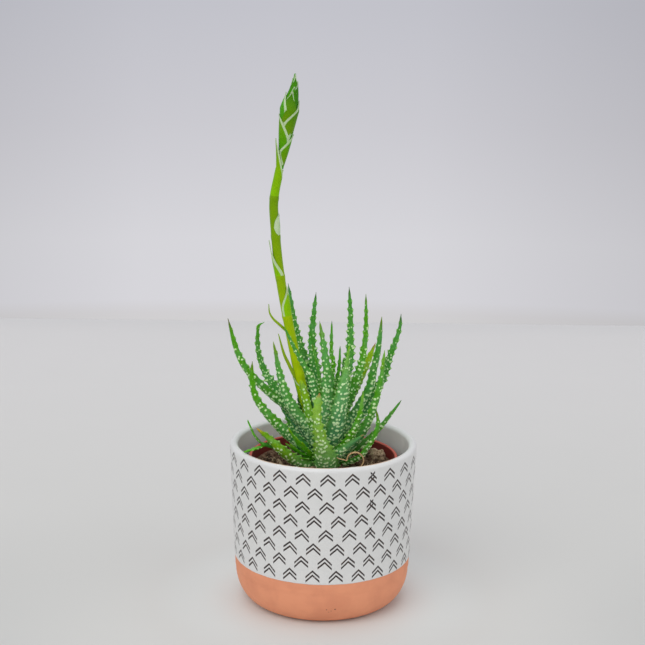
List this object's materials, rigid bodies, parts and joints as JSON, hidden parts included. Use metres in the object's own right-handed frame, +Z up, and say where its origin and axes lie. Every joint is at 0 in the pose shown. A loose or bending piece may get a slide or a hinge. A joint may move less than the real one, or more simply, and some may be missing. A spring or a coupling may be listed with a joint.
{
  "type": "potted aloe",
  "caption": "Small toothed aloe rosette with a tall budding flower stalk, in a nursery pot inside a round ceramic cover pot with a terracotta foot.",
  "frame": {"origin": "centre of the cover pot's flat base", "axes": "+Z up, -Y the front that the picture shows, +X to the right in it"},
  "size_m": [0.1101, 0.1082, 0.3046],
  "materials": {
    "glaze": "satin white glaze with dark printed chevrons above a bare terracotta foot",
    "cup_plastic": "matt red-brown",
    "soil": "crumbly potting mix",
    "stem": "pale green plant stem",
    "leaf": "waxy green with pale raised dots and soft pale teeth",
    "offset": "waxy bright green",
    "stalk": "smooth yellow-green",
    "dry_leaf": "dry and papery, tan"
  },
  "bodies": {
    "root": {"cover_pot": "glaze", "nursery_pot": "cup_plastic", "soil": "soil", "stem": "stem", "flower_stalk": "stalk", "flower_head": "stalk", "offset_left": "offset", "offset_near": "offset", "dry_leaf": "dry_leaf", "leaf_front_cut": "leaf", "leaf_broad_front": "leaf", "leaf_left_front": "leaf", "leaf_low_orange": "leaf", "leaf_left_mid": "leaf", "leaf_right_bright": "leaf", "leaf_right_front": "leaf", "leaf_before_stalk": "leaf", "leaf_over_stalk": "leaf", "leaf_front_mid": "leaf", "leaf_far_left": "leaf", "leaf_hooked": "leaf", "leaf_tall_right": "leaf", "leaf_tall_slim": "leaf", "leaf_right_mid": "leaf", "leaf_right_tall": "leaf", "leaf_tall_left": "leaf", "leaf_behind_stalk": "leaf", "leaf_behind_left": "leaf", "leaf_low_right": "leaf", "leaf_low_curved": "leaf", "leaf_low_broad": "leaf", "leaf_low_blue": "leaf", "leaf_yellowed": "leaf", "leaf_behind_tall": "leaf", "leaf_young_mid": "leaf", "leaf_young_right": "leaf", "leaf_young_left": "leaf", "leaf_back_1": "leaf", "leaf_back_2": "leaf", "leaf_back_3": "leaf", "leaf_back_4": "leaf", "leaf_back_5": "leaf", "leaf_back_6": "leaf"}
  },
  "joints": []
}
